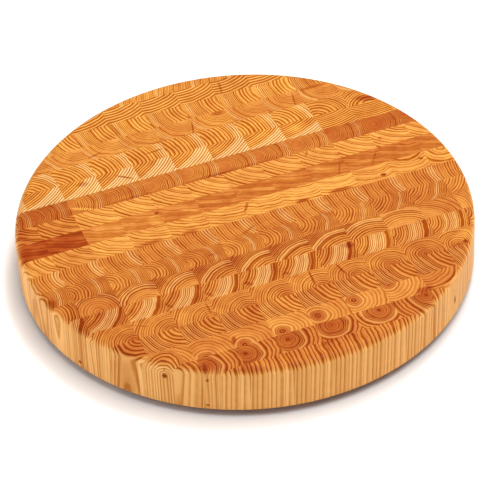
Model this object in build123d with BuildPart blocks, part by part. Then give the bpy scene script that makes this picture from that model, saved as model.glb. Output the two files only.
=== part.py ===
from build123d import *

import math
import os

# A round chopping block of larch with the end grain up. Planks are glued edge to edge into a
# panel, the panel is cross-cut into strips, and the strips are turned on end and glued side by
# side. So glued seams run both ways across the top: one plank gives one row of blocks along X,
# and one strip gives one column of blocks along Y. The glued mat is then turned round, its edges
# are rounded, and four rubber feet are screwed to its underside.
# All lengths are in millimetres. The origin is the middle of the footprint, on the table, and
# +Z is up.

# The wooden mat, which is as wide as its planks and a little off the middle of the disc
plank_count = 19
plank_thickness = 24.0
strip_width = 39.2
mat_shift_x = 1.5
mat_shift_y = 3.0
turning_allowance = 3.0
block_thickness = 50.0
top_edge_radius = 8.0
base_edge_bevel = 1.5
least_offcut = 5.0
saw_overrun = 5.0

# The rubber feet
foot_height = 8.0
foot_seat_diameter = 24.0
foot_tip_diameter = 20.0
foot_edge_bevel = 1.0
foot_web = 3.0
foot_spacing = 248.0

# The washers and screws that hold the feet
washer_diameter = 11.0
washer_thickness = 1.0
washer_clearance = 0.3
screw_diameter = 4.0
screw_length = 18.0
screw_point_length = 3.0
screw_point_diameter = 0.8
screw_head_diameter = 7.6
screw_head_height = 2.6
screw_head_bevel = 1.0
screw_clearance = 0.15
drive_width = 1.2
drive_span = 4.2
drive_depth = 1.3
pilot_spare_depth = 1.5

# Levels and radii that follow from the sizes above
mat_width = plank_count * plank_thickness
block_diameter = mat_width - 2 * turning_allowance
block_radius = block_diameter / 2
block_base = foot_height
washer_seat = foot_height - foot_web
washer_face = washer_seat - washer_thickness
screw_head_face = washer_face - screw_head_height
screw_tip = washer_face + screw_length
screw_radius = screw_diameter / 2
screw_hole_radius = screw_radius + screw_clearance
foot_mouth = washer_diameter / 2 + washer_clearance
pilot_depth = screw_tip - block_base + pilot_spare_depth

foot_places = GridLocations(foot_spacing, foot_spacing, 2, 2).locations


def strip_seams(half_length):
    """Places along X of the strip seams that leave more than the least offcut at both ends."""
    reach = half_length - least_offcut
    first = math.ceil((-reach - mat_shift_x) / strip_width)
    last = math.floor((reach - mat_shift_x) / strip_width)
    return [mat_shift_x + n * strip_width for n in range(first, last + 1)]


def upright_plane(place):
    """The upright plane through one foot's centre, with its x along X and its y up."""
    return Plane(origin=place.position, x_dir=(1, 0, 0), z_dir=(0, -1, 0))


# The turned disc, before it is divided along its seams, with blind pilot holes for the screws
with BuildPart() as disc:
    with BuildSketch(Plane.XY.offset(block_base)):
        Circle(block_radius)
    extrude(amount=block_thickness)
    fillet(disc.edges().group_by(Axis.Z)[-1], radius=top_edge_radius)
    chamfer(disc.edges().group_by(Axis.Z)[0], length=base_edge_bevel)
    with BuildSketch(Plane.XY.offset(block_base)):
        with Locations(foot_places):
            Circle(screw_hole_radius)
    extrude(amount=pilot_depth, mode=Mode.SUBTRACT)


def row_of_blocks(y_low, y_high, label):
    """The blocks from one plank: a slice of the disc along X, divided at the strip seams."""
    with BuildPart() as row:
        add(disc.part)
        with BuildSketch(Plane.XY.offset(block_base - saw_overrun)):
            with Locations((0, (y_low + y_high) / 2)):
                Rectangle(block_diameter + 2 * saw_overrun, y_high - y_low)
        extrude(amount=block_thickness + 2 * saw_overrun, mode=Mode.INTERSECT)
        nearest_y = max(y_low, -y_high, 0)
        half_chord = math.sqrt(block_radius**2 - nearest_y**2)
        for seam in strip_seams(half_chord):
            split(bisect_by=Plane.YZ.offset(seam), keep=Keep.BOTH)
    row.part.label = label
    return row.part


# The rows, counted from the far side of the disc, with the outer two open to the rim
mat_far_edge = mat_width / 2 + mat_shift_y
row_seams = [mat_far_edge - n * plank_thickness for n in range(1, plank_count)]
row_edges = [block_radius + saw_overrun, *row_seams, -block_radius - saw_overrun]
rows = [
    row_of_blocks(y_low, y_high, f"block_row_{n:02d}")
    for n, (y_high, y_low) in enumerate(zip(row_edges, row_edges[1:]), start=1)
]


def rubber_foot(place, label):
    """A moulded bumper: a tapered ring with a mouth for the washer and the screw head."""
    with BuildPart() as foot:
        with BuildSketch(upright_plane(place)):
            with BuildLine():
                Polyline(
                    (screw_hole_radius, foot_height),
                    (foot_seat_diameter / 2, foot_height),
                    (foot_tip_diameter / 2, 0),
                    (foot_mouth, 0),
                    (foot_mouth, washer_seat),
                    (screw_hole_radius, washer_seat),
                    close=True,
                )
            section = make_face()
            tip_corner = section.vertices().group_by(Axis.Y)[0].sort_by(Axis.X)[-1]
            chamfer(tip_corner, length=foot_edge_bevel)
        revolve(axis=Axis(place.position, (0, 0, 1)))
    foot.part.label = label
    return foot.part


feet = [rubber_foot(place, f"rubber_foot_{n}") for n, place in enumerate(foot_places, start=1)]

# Flat steel washers, one against the web inside each foot
with BuildPart() as washers:
    with BuildSketch(Plane.XY.offset(washer_face)):
        with Locations(foot_places):
            Circle(washer_diameter / 2)
            Circle(screw_hole_radius, mode=Mode.SUBTRACT)
    extrude(amount=washer_thickness)
washers.part.label = "foot_washers"

# Pan head wood screws, driven from below: a plain shank, a point and a cross recess
with BuildPart() as screws:
    for place in foot_places:
        with BuildSketch(upright_plane(place)):
            with BuildLine():
                Polyline(
                    (0, screw_head_face),
                    (screw_head_diameter / 2, screw_head_face),
                    (screw_head_diameter / 2, washer_face),
                    (screw_radius, washer_face),
                    (screw_radius, screw_tip - screw_point_length),
                    (screw_point_diameter / 2, screw_tip),
                    (0, screw_tip),
                    close=True,
                )
            section = make_face()
            head_corner = section.vertices().group_by(Axis.Y)[0].sort_by(Axis.X)[-1]
            chamfer(head_corner, length=screw_head_bevel)
        revolve(axis=Axis(place.position, (0, 0, 1)))
    with BuildSketch(Plane.XY.offset(screw_head_face)):
        with Locations(foot_places):
            Rectangle(drive_span, drive_width)
            Rectangle(drive_width, drive_span)
    extrude(amount=drive_depth, mode=Mode.SUBTRACT)
screws.part.label = "foot_screws"

os.makedirs("parts", exist_ok=True)
for piece in [*rows, *feet, washers.part, screws.part]:
    export_step(piece, f"parts/{piece.label}.step")
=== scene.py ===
"""Round end-grain chopping block in larch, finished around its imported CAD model.

The nineteen rows of glued blocks keep their CAD solids and get end grain that is worked out ring
by ring, block by block. Moulded feet, washers and cross-recess screws replace their plain nodes.
"""

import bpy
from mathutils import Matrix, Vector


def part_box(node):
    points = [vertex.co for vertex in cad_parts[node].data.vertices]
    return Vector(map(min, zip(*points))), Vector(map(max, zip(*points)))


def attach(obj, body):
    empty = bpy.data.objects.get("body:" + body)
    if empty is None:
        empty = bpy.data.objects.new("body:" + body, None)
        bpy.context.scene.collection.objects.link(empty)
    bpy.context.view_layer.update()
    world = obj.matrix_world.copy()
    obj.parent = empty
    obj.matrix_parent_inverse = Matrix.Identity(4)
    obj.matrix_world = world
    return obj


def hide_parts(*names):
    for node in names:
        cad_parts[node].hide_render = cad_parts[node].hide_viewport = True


bl_info = {
    "name": "Round larch chopping block",
    "version": (1, 0, 0),
    "blender": (4, 5, 0),
    "location": "3D View > Sidebar > Chopping Block",
    "description": "Finishes the rows of larch blocks, the feet and screws, and sets the studio",
    "category": "Object",
}

import functools
import math
from typing import NamedTuple

import bmesh
import bpy
from mathutils import Matrix, Vector

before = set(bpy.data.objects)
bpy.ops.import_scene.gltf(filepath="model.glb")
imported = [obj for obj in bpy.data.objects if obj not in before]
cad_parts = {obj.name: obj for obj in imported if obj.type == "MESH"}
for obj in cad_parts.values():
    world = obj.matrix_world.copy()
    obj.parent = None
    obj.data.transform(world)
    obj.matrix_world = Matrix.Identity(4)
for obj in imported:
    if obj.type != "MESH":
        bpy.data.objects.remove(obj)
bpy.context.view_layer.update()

MM = 0.001
ROW_NAMES = sorted(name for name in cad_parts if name.startswith("block_row"))
FOOT_NAMES = sorted(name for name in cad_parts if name.startswith("rubber_foot"))
FOOT_LOW, FOOT_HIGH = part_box(FOOT_NAMES[0])
WASHER_LOW, WASHER_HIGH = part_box("foot_washers")
SCREW_LOW, SCREW_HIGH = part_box("foot_screws")
BLOCK_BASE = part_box(ROW_NAMES[0])[0].z
BLOCK_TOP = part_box(ROW_NAMES[0])[1].z
MID_BLOCK = Vector((0.0, 0.0, (BLOCK_TOP + BLOCK_BASE) / 2))

# Points closer together than this are merged.
WELD = 0.001 * MM
# An edge between faces that turn by more than this is drawn sharp.
SHARP = math.radians(35)

# Settings of nodes that come up often. A Mix node has its numbers in inputs 2 and 3 and its
# colours in 6 and 7, and an open one also mixes past its two ends.
SMOOTH = {"interpolation_type": "SMOOTHSTEP"}
COLOURS = {"output": 2, "data_type": "RGBA"}
OPEN_COLOURS = {**COLOURS, "clamp_factor": False}


def linear(code):
    """Turns an sRGB hex colour into linear red, green and blue."""
    levels = [int(code[start:start + 2], 16) / 255 for start in (0, 2, 4)]
    return tuple(
        level / 12.92 if level <= 0.04045 else ((level + 0.055) / 1.055) ** 2.4
        for level in levels
    )


def add(tree, kind, inputs=(), output=0, **settings):
    """Adds a node, sets it, fills or links its inputs and gives back one of its outputs. A kind
    is a node type, which is a ShaderNode if it doesn't say, and may end in its operation."""
    kind, _, operation = kind.partition(" ")
    node = tree.nodes.new(kind if "Node" in kind else "ShaderNode" + kind)
    if operation:
        node.operation = operation
    for name, value in settings.items():
        setattr(node, name, value)
    pairs = inputs.items() if isinstance(inputs, dict) else enumerate(inputs)
    for key, value in pairs:
        if isinstance(value, bpy.types.NodeSocket):
            tree.links.new(value, node.inputs[key])
        elif value is not None:
            node.inputs[key].default_value = value
    return node.outputs[output] if node.outputs else None


def labelled(source, *fields):
    """The values of some fields, by the names of the node inputs that take them."""
    return {field.replace("_", " ").capitalize(): getattr(source, field) for field in fields}


class Mark(NamedTuple):
    """A knot, a drying check, a stain or a patch of painted shade: an oval in one block, in mm and
    degrees. It is on the face, or as far down the turned edge as it says. Dark is how much resin
    covers it, and depth how much redder and darker its wood is drawn."""

    block: int
    u: float
    v: float
    length: float
    width: float
    turn: float = 0.0
    dark: float = 0.0
    depth: float = 0.0
    down: float = 0.0
    tall: float = 6.0


class Board(NamedTuple):
    """The board that one row of blocks was cut from, with lengths in mm. Its depth of colour
    goes from golden at 0 to russet at 1. Its pith wanders along its length, and is given as
    (block, u, v) at three cuts: u from the block's left seam and v from the seam in front. The
    edge of a ring zone is a point (u, v) of the block that it passes, or (0, 0, radius) about
    the pith. Left and right are the change of depth and the share of latewood at the row's ends."""

    name: str
    depth: float
    pith: tuple
    ring: float
    outer_ring: float = 0.0
    change: tuple = (0.0, 0.0, 500.0)
    latewood: float = 0.9
    band: float = 1.0
    waves: float = 0.5
    wander: float = 1.0
    uneven: float = 0.6
    heart: float = 0.1
    heart_late: float = 0.25
    heart_depth: float = 0.0
    pith_dot: float = 0.0
    cream: float = 0.0
    right_cream: float = 1.0
    cream_start: tuple = (0.0, 0.0, 500.0)
    cream_end: tuple = (0.0, 0.0, 500.0)
    cream_late: float = 0.6
    bold: tuple = (0.0, 0.0, 500.0)
    bold_width: float = 1.0
    left: tuple = (0.0, 1.0)
    right: tuple = (0.0, 1.0)
    lean: tuple = (0.04, 0.02)
    knot: tuple = (0.0, 0.0, 0.0)
    knot_reach: float = 0.0
    marks: tuple = ()  # each the numbers of a Mark


# The boards from the far rim to the near one, as their rings show in the photograph.
BOARDS = (
    Board("block_row_01", 0.34, ((-3, 160, -40), (0, 160, -40), (3, 160, -40)), 1.9, latewood=0.6,
          band=1.1, waves=0.7, cream=0.3, cream_start=(30, 12), cream_end=(24, 12)),
    Board("block_row_02", 0.14, ((-3, 8, 62), (0, 8, 62), (3, 10, 62)), 4.0, latewood=1.8,
          band=0.82, waves=0.5, uneven=0.15, cream=0.12, cream_start=(0, 0, 1),
          marks=((1, 8, 12, 12, 1.4, 80, 0.25, 0.3),)),
    Board("block_row_03", 0.21, ((-4, 72, 25), (0, 70, 19), (4, 60, 8)), 4.0, 1.9, (19, 12),
          latewood=1.1, band=1.5, waves=0.6, uneven=0.4, cream=0.22, cream_start=(9, 12),
          cream_end=(3, 12), cream_late=0.9, right=(0.26, 1.0),
          marks=((-2, 4, 12, 18, 1.6, 100, 0.3, 0.4),)),
    Board("block_row_04", 0.43, ((-4, 36, 27), (0, 34, 26), (4, 30, 25)), 2.3, latewood=0.6,
          band=1.15, waves=0.9, wander=2.0, uneven=0.6, heart=12, heart_late=0.1, heart_depth=0.05,
          cream=0.42, cream_start=(4.5, 12), cream_end=(1.5, 12), cream_late=0.8, right=(0.1, 1.0),
          marks=((-3, 9, 7, 9, 1.0, 16, 0.7), (-1, 37, 8, 14, 0.9, 75, 0.5, 0.3),
                 (2, 31, 11, 12, 0.9, 80, 0.6), (0, 30, 21, 8, 4, 0, 0.2, 0.6),
                 (3, 20, 22, 20, 2.5, 0, 0.1, 0.5))),
    Board("block_row_05", 0.22, ((-4, -15, -8), (0, -27, 2), (3, 3, -3)), 4.2, 2.7, (24, 12),
          latewood=1.3, band=1.05, waves=0.6, wander=2.0, uneven=0.4, cream=0.5,
          cream_start=(31, 12), cream_end=(42, 12), cream_late=0.75, right_cream=0.2,
          marks=((-2, 27, 13, 10, 1.0, 5, 0.7), (4, 22, 6, 14, 5, -20, 0.1, 0.6))),
    Board("block_row_06", 0.12, ((-4, -41, 86), (0, -35, 90), (3, 3, 105)), 2.8, latewood=1.5,
          band=1.1, waves=0.4, uneven=0.2, cream=0.77, cream_start=(-1, 1.5), cream_end=(60, -30),
          cream_late=0.65, left=(0.1, 1.0), right_cream=0.15,
          marks=((-3, 26, 11, 10, 1.4, -37, 0.6, 0.3), (-4, 24, 17, 6, 4, 0, 0.2, 0.6),
                 (2, 14, 14, 14, 9, 0, 0, -0.4))),
    Board("block_row_07", 0.63, ((-4, 2, 12), (0, 3, 13), (4, 8, 15)), 2.2, 2.0, (14, 12),
          latewood=0.9, band=1.15, waves=1.1, wander=3.5, uneven=0.4, heart=13, heart_late=0.25,
          heart_depth=0.3, cream=0.38, cream_start=(0, 0, 29), cream_end=(0, 0, 32.5),
          cream_late=0.8, left=(0.25, 1.0), right=(0.35, 0.8),
          marks=((-4, 12, 5, 15, 2.2, -25, 0, -0.8), (-1, 20, 1, 30, 3, 0, 0, 0.4),
                 (0, 20, 1, 34, 3, 0, 0, 0.35), (-3, 20, 1, 30, 3, 0, 0, 0.3))),
    Board("block_row_08", 0.29, ((-4, 60, 56), (0, 62, 58), (4, 52, 56)), 4.4, latewood=0.9,
          waves=0.7, uneven=0.9, left=(0.35, 1.5),
          marks=((2, 10, 20, 6, 1.4, 60, 0.4), (4, 8, 13, 2, 2, 0, 0.5),
                 (-6, 16, 12, 20, 24, 0, 0, 0.4))),
    Board("block_row_09", 0.83, ((-4, 119, 294), (0, 119, 294), (4, 119, 294)), 6.0, latewood=0.34,
          band=0.5, waves=1.5, wander=9.0, uneven=1.6, left=(0.6, 1.1),
          marks=((-3, 37, 18.5, 2.4, 1.9, 0, 1.0), (-3, 33, 9, 10, 8, 80, 0, -0.35),
                 (-4, 20, 12, 24, 16, 0, 0, -0.15), (-3, 15, 14, 26, 12, -10, 0, -0.1),
                 (-2, 29, 9.5, 12, 1.6, -32, 0, -0.35), (-1, 10, 13, 14, 3, -15, 0, -0.3),
                 (-1, 34, 5, 8, 2, 50, 0, -0.2), (0, 4.5, 14, 6, 2, 50, 0, -0.25),
                 (0, 30, 10, 16, 3, -24, 0, -0.3), (1, 14, 15, 16, 2.4, -18, 0, -0.3),
                 (2, 14, 14, 14, 3, -25, 0, -0.3), (3, 14, 9, 14, 3, -8, 0, -0.3),
                 (2, 32, 11, 11, 0.8, 65, 0.5), (3, 31, 12, 11, 0.8, 56, 0.5))),
    Board("block_row_10", 0.27, ((-5, 60, 50), (0, 36, 80), (4, 22, 42)), 4.2, latewood=0.75,
          waves=1.3, uneven=1.0, left=(0.08, 1.4),
          marks=((-3, 17, 2, 12, 4, 0, 0.1, 0.6), (-2, 17, 2, 9, 3, 0, 0.1, 0.6),
                 (0, 3, 15, 8, 1.6, 60, 0.4, 0.3), (1, 18, 1, 7, 4, 0, 0.3, 0.8),
                 (2, 19, 2, 12, 4, 0, 0.3, 0.8), (3, 28, 6.6, 3, 2.2, 0, 0.9, 0.4),
                 (4, 33, 15, 2.6, 2.2, 0, 0.7))),
    Board("block_row_11", 0.58, ((-5, 60, 18), (0, 78, 24), (4, 70, 12)), 2.7, latewood=0.8,
          band=1.15, waves=0.6, uneven=0.15, cream=0.3, cream_start=(38, 12), cream_end=(29.5, 12),
          cream_late=0.7,
          marks=((-1, 31, 6, 11, 1.4, 27, 0.35),)),
    Board("block_row_12", 0.61, ((-5, -6, 10), (0, -1, 13), (4, -14, 34)), 3.0, 1.7, (19, 12),
          latewood=0.8, band=1.05, waves=1.0, wander=1.5, uneven=0.2, heart=2, cream=0.48,
          cream_start=(26.5, 12), cream_end=(29.5, 12), cream_late=1.0, left=(0.1, 1.0),
          marks=((-6, 15, 6, 8, 7, 0, 0.3, 0.6), (-2, 25, 10.5, 4, 0.9, 0, 0.6))),
    Board("block_row_13", 0.46, ((-4, 27, -7), (0, 37, -22), (3, 14, -12)), 3.0, 1.9, (34, 22),
          latewood=1.2, band=1.1, waves=0.6, wander=1.5, uneven=0.4, heart=32, heart_late=0.3,
          right_cream=0.3, cream=0.25, cream_start=(34, 14.5), cream_end=(34, 21.5),
          cream_late=1.0, bold=(34, 13), bold_width=0.5, left=(0.3, 1.2), right=(0.1, 0.6),
          marks=tuple((block, 4, 21, 16, 8, 48, 0, 0.3) for block in range(-3, 3))),
    Board("block_row_14", 0.46, ((-4, -18, 40), (0, -22, 34), (5, -6, 22)), 2.7, 1.9, (13, 12),
          latewood=1.1, band=1.1, waves=0.6, uneven=0.4, cream=0.42, right_cream=0.75,
          cream_start=(14, 12), cream_end=(30, 12), cream_late=0.3, bold=(33, 12), bold_width=1.5,
          left=(0.25, 1.1),
          marks=((-6, 29.4, 10.8, 2, 2, 0, 0.9, 0, 42, 2), (1, 33, 19, 8, 3.5, -20, 0.1, 0.5),
                 (-3, 3, 6, 5, 2, -60, 0.15, 0.4), (-2, 4, 6, 5, 2.4, -50, 0.15, 0.4),
                 (-1, 4, 6, 5, 2.8, -50, 0.15, 0.5), (0, 4, 5, 4, 2, -30, 0.1, 0.4))),
    Board("block_row_15", 0.53, ((-4, 34, -4), (0, 28, -2), (3, 18, 2)), 2.5, latewood=0.9,
          band=1.05, waves=0.7, uneven=0.5, heart=12, heart_late=0.6, heart_depth=0.35,
          marks=((-4, 8, 15, 9, 0.9, -29, 0.4), (-3, 35, 12, 10, 1.0, 88, 0.6),
                 (-3, 34, 2, 5, 2.6, 80, 0, -0.5), (0, 23, 14, 12, 1.2, 85, 0.6, 0.4),
                 (1, 14, 14, 10, 1.2, 102, 0.8), (4, 22, 4, 2.6, 2.4, 0, 0.9, 0.4),
                 (4, 22, 12, 16, 7, 20, 0, -0.4))),
    Board("block_row_16", 0.52, ((-5, 40, 24), (0, 60, 28), (4, 60, 32)), 4.6, 2.2, (20, 12),
          latewood=1.35, band=1.2, waves=0.6, uneven=0.4, cream=0.15, cream_start=(16, 12),
          cream_end=(-4, 12), cream_late=1.0, left=(0.3, 0.8), right=(0.15, 1.0),
          # Darker and redder low on the turned edge at the front left, where it faces away from the
          # lights: partly redder wood, partly painted shade.
          marks=((-5, 22, 8, 30, 26, 0, 0, 1.1, 28, 24),)),
    Board("block_row_17", 0.57, ((-3, 10, -2), (0, 8, 10), (2, 8, 25)), 2.5, 3.8, (0, 0, 8.5),
          latewood=0.5, band=1.05, waves=0.9, wander=0.8, uneven=0.5, heart=10, heart_late=1.7,
          heart_depth=0.5, pith_dot=0.3, cream=0.2, cream_start=(0, 0, 7), cream_end=(0, 0, 9),
          cream_late=0.7, right=(0.1, 1.3), knot=(-145, -171, 45), knot_reach=23,
          marks=((-4, 10.4, 6.4, 3, 2.6, 0, 0.9, 0.4, 14, 3.4),
                 (-4, 10.6, 7, 2, 2, 0, 0.8, 0.3, 7, 2.4), (-2, 2.5, 11, 5, 2.2, 70, 0.4, 0.6),
                 (2, 36, 3, 9, 5, 0, 0.2, 0.6), (3, 30.7, 9.1, 1.6, 1.6, 0, 0.8, 0, 30, 5))),
    Board("block_row_18", 0.74, ((-3, 3.5, 10), (0, 15.7, 18), (2, 34, 20)), 2.0, 4.3, (0, 0, 15),
          latewood=1.05, band=0.95, waves=0.9, wander=0.6, heart=18, heart_late=0.5,
          heart_depth=0.35, pith_dot=1.0, cream=0.24, cream_start=(0, 0, 15),
          cream_end=(0, 0, 17.5), cream_late=1.0,
          marks=((-3, 3, 6.4, 1.3, 1.3, 0, 0.9, 0, 44, 1.3),
                 (-3, 4.2, 6.6, 1.5, 1.5, 0, 0.8, 0, 12, 2.5),
                 (-3, 3.6, 10, 7, 2.2, 80, 0.6, 0.4))),
    Board("block_row_19", 0.6, ((-3, 150, 12), (0, 150, 12), (2, 150, 12)), 4.2, latewood=1.0,
          band=0.85, waves=0.8, uneven=0.8,
          marks=((-2, 4, 14, 16, 7, -20, 0.1, 0.4), (0, 6, 22, 14, 2.4, 12, 0.15, 0.3))),
)


def number(name, description, default, **settings):
    """A number that a user can change."""
    return bpy.props.FloatProperty(
        name=name, description=description, default=default, **settings)


def length(name, description, default):
    """A length that a user can change, in metres."""
    return number(name, description, default, unit="LENGTH", subtype="DISTANCE", precision=4)


def colour(name, description, code):
    """A colour that a user can change, given as sRGB hex."""
    return bpy.props.FloatVectorProperty(name=name, description=description,
                                         default=linear(code), subtype="COLOR", min=0, max=1)


class WoodSettings(bpy.types.PropertyGroup):
    """Sizes of the blocks and the colours of oiled larch."""

    strip_width: length("Strip width", "Length of a block along its row", 39.2 * MM)
    strip_shift: length(
        "Strip shift", "How far the seams between blocks stand off the centre", 1.5 * MM)
    golden_early: colour(
        "Golden earlywood", "Pale part of a ring in the lightest boards", "DBA251")
    golden_late: colour(
        "Golden latewood", "Dark line of a ring in the lightest boards", "A05004")
    russet_early: colour(
        "Russet earlywood", "Pale part of a ring in the darkest boards", "B26429")
    russet_late: colour(
        "Russet latewood", "Dark line of a ring in the darkest boards", "742200")
    cream_colour: colour("Cream", "Palest rings, where the board holds sapwood", "E3CB9C")
    resin: colour("Resin", "Knots and drying checks, dark with resin and oil", "7A2800")
    side_early: colour("Side earlywood", "Pale long grain on the turned edge", "F9BE76")
    side_late: colour(
        "Side latewood", "Dark lines of the long grain on the turned edge", "C27A34")


class FootSettings(bpy.types.PropertyGroup):
    """Sizes and colours of the moulded feet, their washers and screws."""

    spacing: length(
        "Spacing", "From the middle of one foot to the next", -(FOOT_LOW.x + FOOT_HIGH.x))
    seat_radius: length(
        "Seat radius", "Radius of the foot against the wood", (FOOT_HIGH.x - FOOT_LOW.x) / 2)
    tip_radius: length(
        "Tip radius", "Radius of the foot where it stands on the worktop", 10 * MM)
    edge_radius: length("Edge radius", "Rounding of the foot's standing edge", 1.4 * MM)
    mouth_radius: length(
        "Mouth radius", "Radius of the well that the screw head sits in", 5.8 * MM)
    hole_radius: length(
        "Hole radius", "Radius of the screw's hole in the foot and the washer", 2.2 * MM)
    head_radius: length("Head radius", "Radius of the screw's pan head", 3.8 * MM)
    head_height: length("Head height", "Height of the screw's pan head", 2.6 * MM)
    core_radius: length(
        "Core radius", "Radius of the screw at the foot of its thread", 1.4 * MM)
    crest: length("Thread crest", "How far the thread stands out of the core", 0.6 * MM)
    pitch: length("Thread pitch", "Rise of the thread in one turn", 1.8 * MM)
    drive_span: length("Drive span", "Width of the cross recess", 4.2 * MM)
    drive_width: length("Drive width", "Width of one wing of the cross recess", 1.2 * MM)
    drive_depth: length("Drive depth", "Depth of the cross recess", 1.3 * MM)
    rubber: colour("Rubber", "Colour of the moulded feet", "1C1B1A")
    steel: colour("Steel", "Colour of the washers and screws", "B9B6B0")


class StudioSettings(bpy.types.PropertyGroup):
    """Camera, lights and floor."""

    azimuth: number("Azimuth", "Camera's turn about the block, 0 looks along Y",
                    math.radians(-19.3), unit="ROTATION", subtype="ANGLE")
    elevation: number("Elevation", "Camera's height above the worktop as an angle",
                      math.radians(40.97), unit="ROTATION", subtype="ANGLE")
    roll: number("Roll", "Camera's lean, which lifts the block's right side in the picture",
                 math.radians(-2.86), unit="ROTATION", subtype="ANGLE")
    distance: length("Distance", "From the camera to the middle of the block", 2.667)
    lens: number("Lens", "Focal length in millimetres on a 36 mm sensor", 203.3)
    shift: bpy.props.FloatVectorProperty(
        name="Shift", description="Where the block sits in the picture, in picture widths",
        size=2, default=(-0.01067, -0.01802))
    key_power: number(
        "Key power", "Wide soft light above and a little in front", 43, unit="POWER")
    rear_power: number(
        "Rear power", "Soft light high behind, which throws the shadow forwards", 17,
        unit="POWER")
    fill_power: number("Fill power", "Soft light from the left", 8, unit="POWER")
    room_light: number("Room light", "Even light from the white room", 0.36)
    floor: colour("Floor", "Pale floor", "F4F3F1")


# What the rings take from a board and from the wood's colours.
BOARD_NUMBERS = [name for name, kind in Board.__annotations__.items() if kind is float]
BOARD_PLACES = ("change", "cream_start", "cream_end", "bold", "lean", "knot")
WOOD_COLOURS = (
    "golden_early", "golden_late", "russet_early", "russet_late", "cream_colour", "resin",
    "side_early", "side_late")

# How the wood is drawn: first what is in mm.
ZONE_EDGE = 1.6  # half the width over which one ring zone passes into the next
SIDE_DROP = 3.3  # the long grain of the turned edge ends about this far below the top
KNOT_RING = 2.8  # spacing of the rings that arch over a knot
KNOT_EDGE = 3.0  # width over which they pass into the board's own
USUAL_RING = 3.0  # ring at which the latewood has its plain width
PATCH, BLOTCH, PORE = 8, 14, 0.7  # widths of patchy latewood, of blotches and of pores
DOT_EDGE, DOT_CORE = 3.0, 0.8  # radius of the dark pith, and of its darkest part
OVER_LOW, OVER_HIGH = -2.2, 3.8  # about the end of the long grain, end grain fades in
BEVEL_HIGH, BEVEL_LOW = 0.9, 0.3  # above the base, end grain fades in on the small bevel
# The rest: factors, counts of blocks and shares of 1.
FLAT = (1, 1, 0)  # keeps u and v, and drops the height
WAVE_SCALE = 0.09  # waves to a millimetre
WAVE_SPAN = 4.0  # from the lowest wave to the highest, before the board's own share
WAVE_STEP = 0.3  # how far the waves move on from one block to the next
LEFT_END, RIGHT_END = -4.5, 2.5  # the blocks beyond these are the ends of a row
EVENNESS = 0.7  # at 1, latewood would be as wide in a narrow ring as in a wide one
MID_TONE = 0.49  # about what the blotches and the steps between blocks add on average
LEAST_TONE = -0.25  # the palest, a little beyond golden
SATIN = 0.52  # roughness of oiled earlywood
RING_EDGE = 0.55  # darkness where one ring meets the next
RING_POINTS = ((0.09, 0.1), (0.32, 0.08), (0.58, 0.55), (0.84, 1.0))  # place, darkness
GAMMA = 2.4  # of the display scale that colours are mixed on


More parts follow.
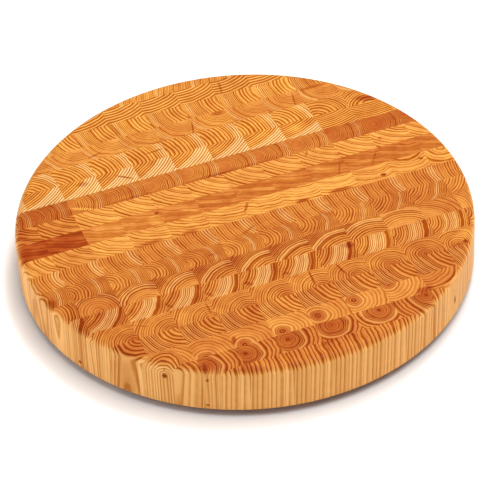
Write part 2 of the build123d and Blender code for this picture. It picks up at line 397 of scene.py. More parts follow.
def larch_rings(inputs):
    """Node group of the end grain: rings round a pith that moves from block to block, and long
    grain where the edge cuts along them. Its inputs are named and typed as the given ones."""
    tree = bpy.data.node_groups.new("larch_rings", "ShaderNodeTree")
    node = functools.partial(add, tree)
    for name, value in inputs.items():
        kind = {3: "Vector", 4: "Color"}[len(value)] if isinstance(value, tuple) else "Float"
        tree.interface.new_socket(name, in_out="INPUT", socket_type="NodeSocket" + kind)
    for name, kind in (("Colour", "Color"), ("Roughness", "Float"), ("Height", "Float")):
        tree.interface.new_socket(name, in_out="OUTPUT", socket_type="NodeSocket" + kind)
    given = tree.nodes.new("NodeGroupInput").outputs

    # Place in the block: u from its left seam, v from the seam in front, in mm.
    place = node("TexCoord", output="Object")
    place = node("VectorMath SCALE", {0: place, "Scale": 1 / MM})
    x, _, z = node("SeparateXYZ", (place,)).node.outputs
    from_shift = node("Math SUBTRACT", (x, given["Strip shift"]))
    blocks = node("Math DIVIDE", (from_shift, given["Strip width"]))
    block = node("Math FLOOR", (blocks,))
    left_seam = node("Math MULTIPLY_ADD", (block, given["Strip width"], given["Strip shift"]))
    corner = node("CombineXYZ", (left_seam, given["Near seam"], given["Top"]))
    local = node("VectorMath SUBTRACT", (place, corner))
    below = node("Math SUBTRACT", (z, given["Top"]))
    lean = node("VectorMath SCALE", {0: given["Lean"], "Scale": below})
    local = node("VectorMath SUBTRACT", (local, lean))
    local = node("VectorMath MULTIPLY", (local, FLAT))

    # The pith in this block, on its smooth path along the board plus a little of its own.
    block_seed = node("CombineXYZ", (block, given["Seed"], 0))
    own = node("TexWhiteNoise", (block_seed,), "Color")
    bow = node("VectorMath SCALE", {0: given["Bow"], "Scale": block})
    drift = node("VectorMath ADD", (given["Drift"], bow))
    drift = node("VectorMath SCALE", {0: drift, "Scale": block})
    pith = node("VectorMath ADD", (given["Pith"], drift))
    stray = node("VectorMath MULTIPLY_ADD", (own, (2, 2, 0), (-1, -1, 0)))
    stray = node("VectorMath SCALE", {0: stray, "Scale": given["Wander"]})
    pith = node("VectorMath ADD", (pith, stray))

    # Distance from the pith, bent by slow waves that change little from one block to the next.
    along = node("Math MULTIPLY_ADD", (block, WAVE_STEP, given["Seed"]))
    wave_place = node("VectorMath SCALE", {0: local, "Scale": WAVE_SCALE})
    wave_place = node("VectorMath ADD", (wave_place, node("CombineXYZ", (0, 0, along))))
    waves = node("TexNoise", {"Vector": wave_place, "Scale": 1.0, "Detail": 1.0})
    waves = node("Math MULTIPLY_ADD", (waves, WAVE_SPAN, -WAVE_SPAN / 2))
    radius = node("VectorMath DISTANCE", (local, pith), "Value")
    radius = node("Math MULTIPLY_ADD", (waves, given["Waves"], radius))

    # Radius of each zone's edge in this block: as given, or its point's distance from the pith.
    reach = {}
    for name in ("Change", "Cream start", "Cream end", "Bold"):
        flat = node("VectorMath MULTIPLY", (given[name], FLAT))
        through = node("VectorMath DISTANCE", (flat, pith), "Value")
        about = node("SeparateXYZ", (given[name],), "Z")
        by_point = node("Math LESS_THAN", (about, 0.1))
        reach[name] = node("Math MULTIPLY_ADD", (through, by_point, about))

    # Rings counted outwards, at one spacing up to the change and at another beyond it.
    inside = node("Math MINIMUM", (radius, reach["Change"]))
    beyond = node("Math SUBTRACT", (radius, inside))
    inner_count = node("Math DIVIDE", (inside, given["Ring"]))
    outer_count = node("Math DIVIDE", (beyond, given["Outer ring"]))
    count = node("Math ADD", (inner_count, outer_count))
    uneven = node("TexNoise", {"W": count, "Scale": 0.6, "Detail": 1.0}, noise_dimensions="1D")
    swing = node("Math MULTIPLY", (given["Uneven"], 2.0))
    count = node("Math MULTIPLY_ADD", (uneven, swing, count))
    count = node("Math ADD", (count, given["Seed"]))

    # Round a knot in the edge the rings turn over in a tall arch.
    off_knot = node("VectorMath SUBTRACT", (place, given["Knot"]))
    rise = node("SeparateXYZ", (off_knot,), "Z")
    rise = node("Math MAXIMUM", (rise, 0.0))
    flat = node("VectorMath MULTIPLY", (off_knot, FLAT))
    flat = node("VectorMath LENGTH", (flat,), "Value")
    arch = node("CombineXYZ", (flat, rise, 0))
    arch = node("VectorMath LENGTH", (arch,), "Value")
    arch = node("Math MULTIPLY_ADD", (waves, 0.8, arch))
    past_knot = node("Math SUBTRACT", (given["Knot reach"], arch))
    near_knot = node("MapRange", (past_knot, 0.0, KNOT_EDGE), **SMOOTH)
    arch_count = node("Math DIVIDE", (arch, KNOT_RING))
    count = node("Mix", {0: near_knot, 2: count, 3: arch_count})
    number = node("Math FLOOR", (count,))
    part = node("Math FRACT", (count,))
    year_seed = node("CombineXYZ", (number, given["Seed"], 0))
    year = node("TexWhiteNoise", (year_seed,), "Value")

    # One ring: pale earlywood darkens slowly to latewood, which ends abruptly and is nearly as
    # wide in a narrow ring as in a wide one.
    outer = node("Math GREATER_THAN", (radius, reach["Change"]))
    spacing = node("Mix", {0: outer, 2: given["Ring"], 3: given["Outer ring"]})
    band = node("Math DIVIDE", (spacing, USUAL_RING))
    band = node("Math POWER", (band, EVENNESS))
    band = node("Math MULTIPLY", (band, given["Band"]))
    part = node("Math POWER", (part, band))
    late = node("FloatCurve", {"Value": part})
    mapping = late.node.mapping
    curve = mapping.curves[0]
    curve.points[0].location = (0.0, RING_EDGE)
    curve.points[1].location = (1.0, RING_EDGE)
    for point in RING_POINTS:
        curve.points.new(*point)
    mapping.update()

    # Its strength: 0.6 to 1.4 by the year, weaker about the pith, patchy, and changed at the
    # row's ends. A knot's rings are stronger, and a bold line is drawn over all.
    strength = node("Math MULTIPLY_ADD", (year, 0.8, 0.6))
    strength = node("Math MULTIPLY", (strength, given["Latewood"]))
    away = node("Math DIVIDE", (radius, given["Heart"]))
    away = node("MapRange", (away, 0.3, 1.0), **SMOOTH)
    faded = node("MapRange", (away, 0.0, 1.0, given["Heart late"], 1))
    strength = node("Math MULTIPLY", (strength, faded))
    patches = node("TexNoise", {"Vector": place, "Scale": 1 / PATCH})
    patches = node("Math ADD", (patches, 0.5))
    strength = node("Math MULTIPLY", (strength, patches))
    at_left = node("Math LESS_THAN", (block, LEFT_END))
    at_right = node("Math GREATER_THAN", (block, RIGHT_END))
    for at_end, name in ((at_left, "Left late"), (at_right, "Right late")):
        kept = node("MapRange", (at_end, 0, 1, 1, given[name]))
        strength = node("Math MULTIPLY", (strength, kept))
    strength = node("Math MULTIPLY_ADD", (near_knot, 0.6, strength))
    late = node("Math MULTIPLY", (late, strength), use_clamp=True)
    off_bold = node("Math SUBTRACT", (radius, reach["Bold"]))
    off_bold = node("Math ABSOLUTE", (off_bold,))
    off_bold = node("Math DIVIDE", (off_bold, given["Bold width"]))
    bold = node("MapRange", (off_bold, 1.3, 0.7), **SMOOTH)
    late = node("Math MAXIMUM", (late, bold))

    # Cream zone between two radii.
    past_start = node("Math SUBTRACT", (radius, reach["Cream start"]))
    before_end = node("Math SUBTRACT", (reach["Cream end"], radius))
    entering = node("MapRange", (past_start, -ZONE_EDGE, ZONE_EDGE), **SMOOTH)
    leaving = node("MapRange", (before_end, -ZONE_EDGE, ZONE_EDGE), **SMOOTH)
    kept = node("MapRange", (at_right, 0, 1, 1, given["Right cream"]))
    pale = entering
    for share in (leaving, given["Cream"], kept):
        pale = node("Math MULTIPLY", (pale, share))
    softened = node("MapRange", (pale, 0, 1, 1, given["Cream late"]))
    late = node("Math MULTIPLY", (late, softened))

    # Tone of this block: the board's own, changed at its ends, with a step from block to block,
    # blotches, stains, painted shade low on the turned edge at the front left, and a redder heart.
    # 0 is golden and 1 russet.
    shade = node("SeparateColor", (own,), 2)
    blotches = node("TexNoise", {"Vector": place, "Scale": 1 / BLOTCH, "Detail": 3.0})
    near_pith = node("Math SUBTRACT", (1.0, away))
    tone = given["Depth"]
    for amount, weight in ((at_left, given["Left depth"]), (at_right, given["Right depth"]),
                           (shade, 0.24), (blotches, 0.8), (given["Stain"], 1.0),
                           (near_pith, given["Heart depth"])):
        tone = node("Math MULTIPLY_ADD", (amount, weight, tone))
    tone = node("Math SUBTRACT", (tone, MID_TONE))
    tone = node("Math MAXIMUM", (tone, LEAST_TONE))

    # Fine pores and fibres, drawn at 0.7 mm so that they show; real ones are a tenth of it.
    pores = node("TexNoise", {"Vector": place, "Scale": 1 / PORE})
    pores = node("Math SUBTRACT", (pores, 0.5))
    late = node("Math MULTIPLY_ADD", (pores, 0.35, late), use_clamp=True)

    # Denser wood holds more pigment, so colours are mixed on a display scale, not by light.
    shown = {name: node("Gamma", (given[name], 1 / GAMMA))
             for name, value in inputs.items() if isinstance(value, tuple) and len(value) == 4}
    early, dark = (
        node("Mix", {0: tone, 6: shown["Golden " + wood], 7: shown["Russet " + wood]},
             **OPEN_COLOURS)
        for wood in ("early", "late"))
    early = node("Mix", {0: pale, 6: early, 7: shown["Cream colour"]}, **COLOURS)
    face = node("Mix", {0: late, 6: early, 7: dark}, **COLOURS)
    side_late = node("Math MULTIPLY", (tone, 0.2))
    for amount, weight in ((late, 0.66), (year, 0.3)):
        side_late = node("Math MULTIPLY_ADD", (amount, weight, side_late))
    side_late = node("Math SUBTRACT", (side_late, 0.12))
    side = node("Mix", {0: side_late, 6: shown["Side early"], 7: shown["Side late"]},
                **OPEN_COLOURS)

    # The turned edge shows long grain up to where it starts to round over.
    above = node("Math SUBTRACT", (z, given["Side top"]))
    above = node("Math MULTIPLY_ADD", (late, 1.2, above))
    over = node("MapRange", (above, OVER_LOW, OVER_HIGH), **SMOOTH)
    under = node("Math SUBTRACT", (z, given["Base"]))
    under = node("MapRange", (under, BEVEL_HIGH, BEVEL_LOW), **SMOOTH)
    end_grain = node("Math MAXIMUM", (over, under))
    colour_out = node("Mix", {0: end_grain, 6: side, 7: face}, **COLOURS)
    dot = node("MapRange", (radius, DOT_EDGE, DOT_CORE, 0, given["Pith dot"]), **SMOOTH)
    dark_spot = node("Math MAXIMUM", (given["Mark"], dot))
    colour_out = node("Mix", {0: dark_spot, 6: colour_out, 7: shown["Resin"]}, **COLOURS)
    colour_out = node("Gamma", (colour_out, GAMMA))

    # Oiled latewood is closed and a little glossier; pores stay matt.
    rough = node("Math MULTIPLY_ADD", (late, -0.08, SATIN))
    rough = node("Math MULTIPLY_ADD", (pores, 0.12, rough))
    height = node("Math MULTIPLY_ADD", (pores, 0.5, late))
    node("NodeGroupOutput", {"Colour": colour_out, "Roughness": rough, "Height": height})
    return tree


def pith_path(stations):
    """Start, drift and bow of the smooth path through three (block, u, v) stations."""
    (b0, *p0), (b1, *p1), (b2, *p2) = stations
    path = []
    for k in range(2):
        first = (p1[k] - p0[k]) / (b1 - b0)
        second = (p2[k] - p1[k]) / (b2 - b1)
        bow = (second - first) / (b2 - b0)
        drift = first - bow * (b0 + b1)
        start = p0[k] - drift * b0 - bow * b0 * b0
        path.append((start, drift, bow))
    return [(along, across, 0.0) for along, across in zip(*path)]


def ring_inputs(board, wood):
    """What the rings of one board take, by the names of their inputs: plain numbers, places of
    three numbers and colours of four."""
    start, drift, bow = pith_path(board.pith)
    places = labelled(board, *BOARD_PLACES)
    colours = labelled(wood, *WOOD_COLOURS)
    return {
        **labelled(board, *BOARD_NUMBERS),
        **{name: (*value, 0)[:3] for name, value in places.items()},
        **{name: (*value, 1) for name, value in colours.items()},
        "Outer ring": board.outer_ring or board.ring,
        "Left depth": board.left[0], "Left late": board.left[1],
        "Right depth": board.right[0], "Right late": board.right[1],
        "Pith": start, "Drift": drift, "Bow": bow, "Seed": 0.37 * int(board.name[-2:]),
        "Near seam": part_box(board.name)[0].y / MM, "Strip width": wood.strip_width / MM,
        "Strip shift": wood.strip_shift / MM, "Base": BLOCK_BASE / MM, "Top": BLOCK_TOP / MM,
        "Side top": BLOCK_TOP / MM - SIDE_DROP, "Mark": 0.0, "Stain": 0.0,
    }


def new_material(name):
    """A material with an empty tree, and the function that adds to that tree."""
    material = bpy.data.materials.new(name)
    material.use_nodes = True
    material.node_tree.nodes.clear()
    return material, functools.partial(add, material.node_tree)


def oiled_larch(board, rings, wood):
    """Larch cut across the grain, turned, sanded and oiled: warm orange rings with crisp dark
    latewood and a soft satin, and paler long grain on the edge."""
    material, node = new_material("oiled_larch_" + board.name[-2:])

    # Marks on single blocks, their outlines ragged by up to a millimetre.
    place = node("TexCoord", output="Object")
    ragged = node("TexNoise", {"Vector": place, "Scale": 1 / (3 * MM)}, "Color")
    ragged = node("VectorMath MULTIPLY_ADD", (ragged, (2 * MM, 2 * MM, 0), (-1 * MM, -1 * MM, 0)))
    place = node("VectorMath ADD", (place, ragged))
    mark, stain_and_shade = 0.0, 0.0
    for numbers in board.marks:
        spot = Mark(*numbers)
        centre = (wood.strip_shift + wood.strip_width * spot.block + spot.u * MM,
                  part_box(board.name)[0].y + spot.v * MM, BLOCK_TOP - spot.down * MM)
        oval = node("Mapping",
                    {"Vector": place, "Location": centre,
                     "Rotation": (0, 0, math.radians(spot.turn)),
                     "Scale": (spot.length * MM, spot.width * MM, spot.tall * MM)},
                    vector_type="TEXTURE")
        reach = node("VectorMath LENGTH", (oval,), "Value")
        inside = node("MapRange", (reach, 1.3, 0.4), **SMOOTH)
        if spot.dark:
            mark = node("Math MULTIPLY_ADD", (inside, spot.dark, mark), use_clamp=True)
        # Depth makes the wood redder and darker; on row 16's turned edge this is partly painted
        # shade.
        if spot.depth:
            stain_and_shade = node("Math MULTIPLY_ADD", (inside, spot.depth, stain_and_shade))

    inputs = ring_inputs(board, wood) | {"Mark": mark, "Stain": stain_and_shade}
    grain = node("Group", inputs, node_tree=rings).node.outputs
    bump = node("Bump", {"Strength": 0.25, "Distance": 0.15 * MM, "Height": grain["Height"]})
    surface = node("BsdfPrincipled",
                   {"Base Color": grain["Colour"], "Normal": bump, "IOR": 1.47,
                    "Specular IOR Level": 0.06, "Roughness": grain["Roughness"]})
    node("OutputMaterial", (surface,))
    return material


class CHOPPINGBLOCK_OT_larch_rows(bpy.types.Operator):
    """Give each row of blocks the larch of its own board"""

    bl_idname = "chopping_block.larch_rows"
    bl_label = "Larch rows"

    def execute(self, context):
        if [board.name for board in BOARDS] != ROW_NAMES:
            raise RuntimeError("each row of blocks needs its own board")
        wood = context.scene.block_wood
        rings = larch_rings(ring_inputs(BOARDS[0], wood))
        for board in BOARDS:
            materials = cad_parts[board.name].data.materials
            materials.clear()
            materials.append(oiled_larch(board, rings, wood))
        return {"FINISHED"}


# Fittings: play of the washer about the screw's hole, the screw's pointed end, and how far its
# thread stays off the washer and off the tip.
WASHER_PLAY = 0.1 * MM
POINT = 3 * MM
THREAD_START, THREAD_END = 2 * MM, 2.5 * MM
# From the middle of the floor to its sides, in metres.
FLOOR_REACH = 6.0


def turned(tree, corners, segments, closed):
    """Turns an outline about the vertical axis. A corner is its radius, height and rounding;
    an open outline starts and ends on the axis."""
    line = add(tree, "GeometryNodeCurvePrimitiveLine")
    line = add(tree, "GeometryNodeResampleCurve", {"Curve": line, "Count": len(corners)})
    index = add(tree, "GeometryNodeInputIndex")
    places = tree.nodes.new("GeometryNodeIndexSwitch")
    roundings = tree.nodes.new("GeometryNodeIndexSwitch")
    places.data_type, roundings.data_type = "VECTOR", "FLOAT"
    for switch in (places, roundings):
        for _ in corners[2:]:
            switch.index_switch_items.new()
        tree.links.new(index, switch.inputs[0])
    # The circle has a radius of 1 m, so the outline's x starts there, and its y points down.
    for number, (radius, height, rounding) in enumerate(corners, 1):
        off_circle = add(tree, "Math SUBTRACT", (radius, 1.0))
        down = add(tree, "Math MULTIPLY", (height, -1.0))
        corner = add(tree, "CombineXYZ", (off_circle, down, 0.0))
        tree.links.new(corner, places.inputs[number])
        roundings.inputs[number].default_value = rounding
    outline = add(tree, "GeometryNodeSetPosition",
                  {"Geometry": line, "Position": places.outputs[0]})
    outline = add(tree, "GeometryNodeSetSplineCyclic", {"Geometry": outline, "Cyclic": closed})
    outline = add(tree, "GeometryNodeFilletCurve",
                  {"Curve": outline, "Count": 5, "Radius": roundings.outputs[0]}, mode="POLY")
    circle = add(tree, "GeometryNodeCurvePrimitiveCircle", {"Resolution": segments, "Radius": 1.0})
    shape = add(tree, "GeometryNodeCurveToMesh", {"Curve": circle, "Profile Curve": outline})
    shape = add(tree, "GeometryNodeFlipFaces", (shape,))
    return add(tree, "GeometryNodeMergeByDistance", {"Geometry": shape, "Distance": WELD})


def on_each_foot(tree, given, shape, turns=None):
    """Sets the shape on the four corners of the feet's square and ends the tree."""
    square = add(tree, "GeometryNodeMeshGrid",
                 {"Size X": given["Spacing"], "Size Y": given["Spacing"],
                  "Vertices X": 2, "Vertices Y": 2})
    shapes = add(tree, "GeometryNodeInstanceOnPoints",
                 {"Points": square, "Instance": shape, "Rotation": turns})
    shapes = add(tree, "GeometryNodeRealizeInstances", (shapes,))
    shapes = add(tree, "GeometryNodeSetMaterial",
                 {"Geometry": shapes, "Material": given["Material"]})
    shapes = add(tree, "GeometryNodeSetShadeSmooth", (shapes,))
    add(tree, "NodeGroupOutput", (shapes,))


def new_tree(name, sizes):
    """A geometry tree with one named input for each size, and its inputs by name."""
    tree = bpy.data.node_groups.new(name, "GeometryNodeTree")
    tree.interface.new_socket("Geometry", in_out="OUTPUT", socket_type="NodeSocketGeometry")
    tree.interface.new_socket("Material", in_out="INPUT", socket_type="NodeSocketMaterial")
    for size in sizes:
        tree.interface.new_socket(size, in_out="INPUT", socket_type="NodeSocketFloat")
    return tree, tree.nodes.new("NodeGroupInput").outputs


def grown(name, tree, sizes, material, nodes):
    """Runs the tree, keeps its result as a plain closed mesh and lets it replace CAD nodes."""
    piece = bpy.data.objects.new(name, bpy.data.meshes.new(name))
    bpy.context.scene.collection.objects.link(piece)
    growth = piece.modifiers.new(name, "NODES")
    growth.node_group = tree
    values = {**sizes, "Material": material}
    for item in tree.interface.items_tree:
        if item.in_out == "INPUT":
            growth[item.identifier] = values[item.name]
    evaluated = piece.evaluated_get(bpy.context.evaluated_depsgraph_get())
    mesh = bpy.data.meshes.new_from_object(evaluated)
    piece.modifiers.remove(growth)
    shape = bmesh.new()
    shape.from_mesh(mesh)
    bmesh.ops.remove_doubles(shape, verts=shape.verts, dist=WELD)
    bmesh.ops.recalc_face_normals(shape, faces=shape.faces)
    for edge in shape.edges:
        edge.smooth = edge.calc_face_angle() < SHARP
    shape.to_mesh(mesh)
    shape.free()
    mesh.materials.clear()
    mesh.materials.append(material)
    mesh.name = name
    piece.data = mesh
    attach(piece, "root")
    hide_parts(*nodes)


def moulded_rubber(feet):
    """Black rubber from a mould: dull charcoal with a fine pebbled skin that breaks up the
    light, and greyer where it has been handled."""
    material, node = new_material("moulded_rubber")
    place = node("TexCoord", output="Object")
    # The skin's grain, about 0.4 mm from bump to bump.
    pebbles = node("TexNoise", {"Vector": place, "Scale": 1 / (0.4 * MM)})
    rubbed = node("TexNoise", {"Vector": place, "Scale": 1 / (6 * MM)})
    rubbed = node("MapRange", (rubbed, 0.35, 0.75, 0.0, 0.35), **SMOOTH)
    tint = node("Mix", {0: rubbed, 6: (*feet.rubber, 1), 7: (*linear("4A4845"), 1)}, **COLOURS)
    rough = node("MapRange", (pebbles, 0.3, 0.7, 0.5, 0.72))
    bump = node("Bump", {"Strength": 0.5, "Distance": 0.05 * MM, "Height": pebbles})
    surface = node("BsdfPrincipled",
                   {"Base Color": tint, "Roughness": rough, "Normal": bump, "IOR": 1.52})
    node("OutputMaterial", (surface,))
    return material


def stainless_steel(name, feet, shine):
    """Stainless steel, tumbled after it was stamped or cold headed: a bright grey with small
    dull dents and soft clouds of wear."""
    material, node = new_material(name)
    place = node("TexCoord", output="Object")
    # Dents of about 0.5 mm, drawn larger than the real ones so that they show.
    dents = node("TexNoise", {"Vector": place, "Scale": 1 / (0.5 * MM), "Detail": 3.0})
    clouds = node("TexNoise", {"Vector": place, "Scale": 1 / (3 * MM)})
    tint = node("Mix", {0: clouds, 6: (*feet.steel, 1), 7: (*linear("8E8C88"), 1)}, **COLOURS)
    rough = node("MapRange", (dents, 0.3, 0.7, shine, shine + 0.18))
    bump = node("Bump", {"Strength": 0.35, "Distance": 0.03 * MM, "Height": dents})
    surface = node("BsdfPrincipled",
                   {"Base Color": tint, "Metallic": 1.0, "Roughness": rough, "Normal": bump})
    node("OutputMaterial", (surface,))
    return material


class CHOPPINGBLOCK_OT_feet(bpy.types.Operator):
    """Make the four moulded rubber feet"""

    bl_idname = "chopping_block.feet"
    bl_label = "Rubber feet"

    def execute(self, context):
        feet = context.scene.block_feet
        sizes = {
            **labelled(feet, "spacing", "seat_radius", "tip_radius", "mouth_radius", "hole_radius"),
            "Top": FOOT_HIGH.z, "Seat": WASHER_HIGH.z,
        }
        tree, given = new_tree("moulded_foot", sizes)
        foot = turned(tree, (
            (given["Hole radius"], given["Seat"], 0.1 * MM),
            (given["Hole radius"], given["Top"], 0.1 * MM),
            (given["Seat radius"], given["Top"], 0.3 * MM),
            (given["Tip radius"], 0.0, feet.edge_radius),
            (given["Mouth radius"], 0.0, 0.6 * MM),
            (given["Mouth radius"], given["Seat"], 0.2 * MM),
        ), segments=64, closed=True)
        on_each_foot(tree, given, foot)
        grown("moulded_feet", tree, sizes, moulded_rubber(feet), FOOT_NAMES)
        return {"FINISHED"}


class CHOPPINGBLOCK_OT_washers(bpy.types.Operator):
    """Make the washer in each foot"""

    bl_idname = "chopping_block.washers"
    bl_label = "Washers"

    def execute(self, context):
        feet = context.scene.block_feet
        sizes = {
            "Spacing": feet.spacing,
            "Outer radius": (WASHER_HIGH.x - WASHER_LOW.x - feet.spacing) / 2,
            "Hole radius": feet.hole_radius + WASHER_PLAY,
            "Bottom": WASHER_LOW.z, "Top": WASHER_HIGH.z,
        }
        tree, given = new_tree("stamped_washer", sizes)
        washer = turned(tree, (
            (given["Hole radius"], given["Bottom"], 0.1 * MM),
            (given["Hole radius"], given["Top"], 0.1 * MM),
            (given["Outer radius"], given["Top"], 0.2 * MM),
            (given["Outer radius"], given["Bottom"], 0.3 * MM),
        ), segments=48, closed=True)
        on_each_foot(tree, given, washer)
        steel = stainless_steel("stamped_stainless_steel", feet, 0.3)
        grown("stamped_washers", tree, sizes, steel, ("foot_washers",))
        return {"FINISHED"}


class CHOPPINGBLOCK_OT_screws(bpy.types.Operator):
    """Make the cross-recess screw in each foot"""

    bl_idname = "chopping_block.screws"
    bl_label = "Screws"

    def execute(self, context):
        feet = context.scene.block_feet
        start = WASHER_HIGH.z + THREAD_START
        sizes = {
            **labelled(feet, "spacing", "head_radius", "core_radius", "crest", "pitch",
                       "drive_span", "drive_width", "drive_depth"),
            "Face": SCREW_LOW.z, "Underside": SCREW_LOW.z + feet.head_height,
            "Tip": SCREW_HIGH.z, "Thread start": start,
            "Thread turns": (SCREW_HIGH.z - THREAD_END - start) / feet.pitch, "Seed": 7.0,
        }
        tree, given = new_tree("cross_recess_screw", sizes)
        point = add(tree, "Math SUBTRACT", (given["Tip"], POINT))
        blank = turned(tree, (
            (0.0, given["Face"], 0.0),
            (given["Head radius"], given["Face"], 1.7 * MM),
            (given["Head radius"], given["Underside"], 0.2 * MM),
            (given["Core radius"], given["Underside"], 0.2 * MM),
            (given["Core radius"], point, 0.5 * MM),
            (0.0, given["Tip"], 0.0),
        ), segments=40, closed=False)
        recess = self.recess(tree, given)
        screw = add(tree, "GeometryNodeMeshBoolean",
                    {"Mesh 1": blank, "Mesh 2": recess, "Self Intersection": True},
                    operation="DIFFERENCE", solver="EXACT")
        screw = add(tree, "GeometryNodeJoinGeometry", (screw,))
        tree.links.new(self.thread(tree, given), screw.node.inputs[0])
        turns = add(tree, "FunctionNodeRandomValue",
                    {"Max": (0.0, 0.0, math.tau), "Seed": given["Seed"]},
                    data_type="FLOAT_VECTOR")
        on_each_foot(tree, given, screw, turns)
        steel = stainless_steel("cold_headed_stainless_steel", feet, 0.22)
        grown("cross_recess_screws", tree, sizes, steel, ("foot_screws",))
        return {"FINISHED"}

    def thread(self, tree, given):
        """A three-sided ridge wound round the core, in 24 steps a turn."""
        height = add(tree, "Math MULTIPLY", (given["Pitch"], given["Thread turns"]))
        path = add(tree, "GeometryNodeCurveSpiral",
                   {"Resolution": 24, "Rotations": given["Thread turns"],
                    "Start Radius": given["Core radius"], "End Radius": given["Core radius"],
                    "Height": height, "Reverse": True})
        ridge = add(tree, "GeometryNodeCurvePrimitiveCircle",
                    {"Resolution": 3, "Radius": given["Crest"]})
        ridge = add(tree, "GeometryNodeCurveToMesh",
                    {"Curve": path, "Profile Curve": ridge, "Fill Caps": True})
        place = add(tree, "CombineXYZ", (0.0, 0.0, given["Thread start"]))
        return add(tree, "GeometryNodeTransform", {"Geometry": ridge, "Translation": place})

    def recess(self, tree, given):
        """Two crossed wings that narrow with depth. They are centred on the head's face, so they
        are made twice as deep as the recess."""
        deep = add(tree, "Math MULTIPLY", (given["Drive depth"], 2.0))
        size = add(tree, "CombineXYZ", (given["Drive span"], given["Drive width"], deep))
        wing = add(tree, "GeometryNodeMeshCube", {"Size": size})
        position = add(tree, "GeometryNodeInputPosition")
        height = add(tree, "SeparateXYZ", (position,), "Z")
        sunk = add(tree, "Math DIVIDE", (height, given["Drive depth"]))
        narrow = add(tree, "MapRange", (sunk, -1.0, 1.0, 1.3, 0.7))
        narrow = add(tree, "CombineXYZ", (narrow, narrow, 1.0))
        tapered = add(tree, "VectorMath MULTIPLY", (position, narrow))
        wing = add(tree, "GeometryNodeSetPosition", {"Geometry": wing, "Position": tapered})
        across = add(tree, "GeometryNodeTransform",
                     {"Geometry": wing, "Rotation": (0.0, 0.0, math.pi / 2)})
        cross = add(tree, "GeometryNodeJoinGeometry", (wing,))
        tree.links.new(across, cross.node.inputs[0])
        place = add(tree, "CombineXYZ", (0.0, 0.0, given["Face"]))
        return add(tree, "GeometryNodeTransform", {"Geometry": cross, "Translation": place})


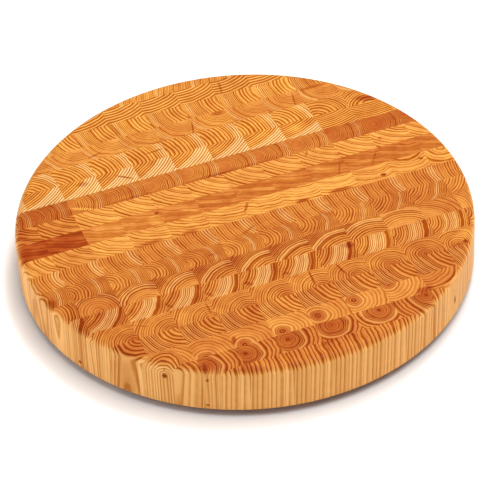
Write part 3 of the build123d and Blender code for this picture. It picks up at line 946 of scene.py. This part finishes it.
class CHOPPINGBLOCK_OT_studio(bpy.types.Operator):
    """Set up the pale floor, the soft lights and the camera"""

    bl_idname = "chopping_block.studio"
    bl_label = "Studio"

    def execute(self, context):
        studio = context.scene.block_studio
        self.lay_floor(context, studio)
        self.hang_lights(context, studio)
        self.aim_camera(context, studio)
        context.scene.view_settings.view_transform = "Standard"
        return {"FINISHED"}

    def lay_floor(self, context, studio):
        """A wide pale sheet under the feet."""
        mesh = bpy.data.meshes.new("pale_floor")
        shape = bmesh.new()
        bmesh.ops.create_grid(shape, x_segments=1, y_segments=1, size=FLOOR_REACH)
        shape.to_mesh(mesh)
        shape.free()
        # Matt coated paper: an even near-white that takes soft shadows and has no shine.
        material = bpy.data.materials.new("matt_paper_sweep")
        material.use_nodes = True
        surface = material.node_tree.nodes["Principled BSDF"]
        surface.inputs["Base Color"].default_value = (*studio.floor, 1)
        surface.inputs["Roughness"].default_value = 0.9
        surface.inputs["Specular IOR Level"].default_value = 0.1
        mesh.materials.append(material)
        floor = bpy.data.objects.new("pale_floor", mesh)
        context.scene.collection.objects.link(floor)

    def hang_lights(self, context, studio):
        """A wide softbox above and a little in front, smaller ones behind and at the left, and a
        white room."""
        lights = (
            ("overhead_softbox", studio.key_power, 1.8, (0.35, -0.25, 2.0)),
            ("rear_softbox", studio.rear_power, 0.5, (0.5, 0.45, 1.9)),
            ("left_softbox", studio.fill_power, 1.2, (-1.7, 0.3, 0.8)),
        )
        for name, power, size, place in lights:
            lamp = bpy.data.lights.new(name, "AREA")
            lamp.energy = power
            lamp.size = size
            light = bpy.data.objects.new(name, lamp)
            light.location = place
            light.rotation_euler = (MID_BLOCK - light.location).to_track_quat("-Z", "Y").to_euler()
            context.scene.collection.objects.link(light)
        world = bpy.data.worlds.new("white_room")
        world.use_nodes = True
        room = world.node_tree.nodes["Background"]
        room.inputs["Color"].default_value = (1, 1, 1, 1)
        room.inputs["Strength"].default_value = studio.room_light
        context.scene.world = world

    def aim_camera(self, context, studio):
        """The photograph's view of the block."""
        towards = Vector((
            math.sin(studio.azimuth) * math.cos(studio.elevation),
            -math.cos(studio.azimuth) * math.cos(studio.elevation),
            math.sin(studio.elevation),
        ))
        data = bpy.data.cameras.new("camera")
        data.lens = studio.lens
        data.shift_x, data.shift_y = studio.shift
        camera = bpy.data.objects.new("camera", data)
        turn = towards.to_track_quat("Z", "Y").to_matrix().to_4x4()
        camera.matrix_world = (
            Matrix.Translation(MID_BLOCK + towards * studio.distance)
            @ turn @ Matrix.Rotation(studio.roll, 4, "Z")
        )
        context.scene.collection.objects.link(camera)
        context.scene.camera = camera


class CHOPPINGBLOCK_PT_panel(bpy.types.Panel):
    """Sizes, colours and steps of the chopping block"""

    bl_idname = "CHOPPINGBLOCK_PT_panel"
    bl_label = "Chopping Block"
    bl_space_type = "VIEW_3D"
    bl_region_type = "UI"
    bl_category = "Chopping Block"

    def draw(self, context):
        for operator in OPERATORS:
            self.layout.operator(operator.bl_idname)
        for name in SETTINGS:
            settings = getattr(context.scene, name)
            for item in settings.bl_rna.properties:
                if item.identifier not in ("rna_type", "name"):
                    self.layout.prop(settings, item.identifier)


SETTINGS = {
    "block_wood": WoodSettings,
    "block_feet": FootSettings,
    "block_studio": StudioSettings,
}
OPERATORS = (
    CHOPPINGBLOCK_OT_larch_rows,
    CHOPPINGBLOCK_OT_feet,
    CHOPPINGBLOCK_OT_washers,
    CHOPPINGBLOCK_OT_screws,
    CHOPPINGBLOCK_OT_studio,
)
CLASSES = (*SETTINGS.values(), *OPERATORS, CHOPPINGBLOCK_PT_panel)


def register():
    for kind in CLASSES:
        bpy.utils.register_class(kind)
    for name, kind in SETTINGS.items():
        setattr(bpy.types.Scene, name, bpy.props.PointerProperty(type=kind))


def unregister():
    for name in SETTINGS:
        delattr(bpy.types.Scene, name)
    for kind in reversed(CLASSES):
        bpy.utils.unregister_class(kind)


def main():
    register()
    bpy.ops.chopping_block.larch_rows()
    bpy.ops.chopping_block.feet()
    bpy.ops.chopping_block.washers()
    bpy.ops.chopping_block.screws()
    bpy.ops.chopping_block.studio()


if __name__ == "__main__":
    main()
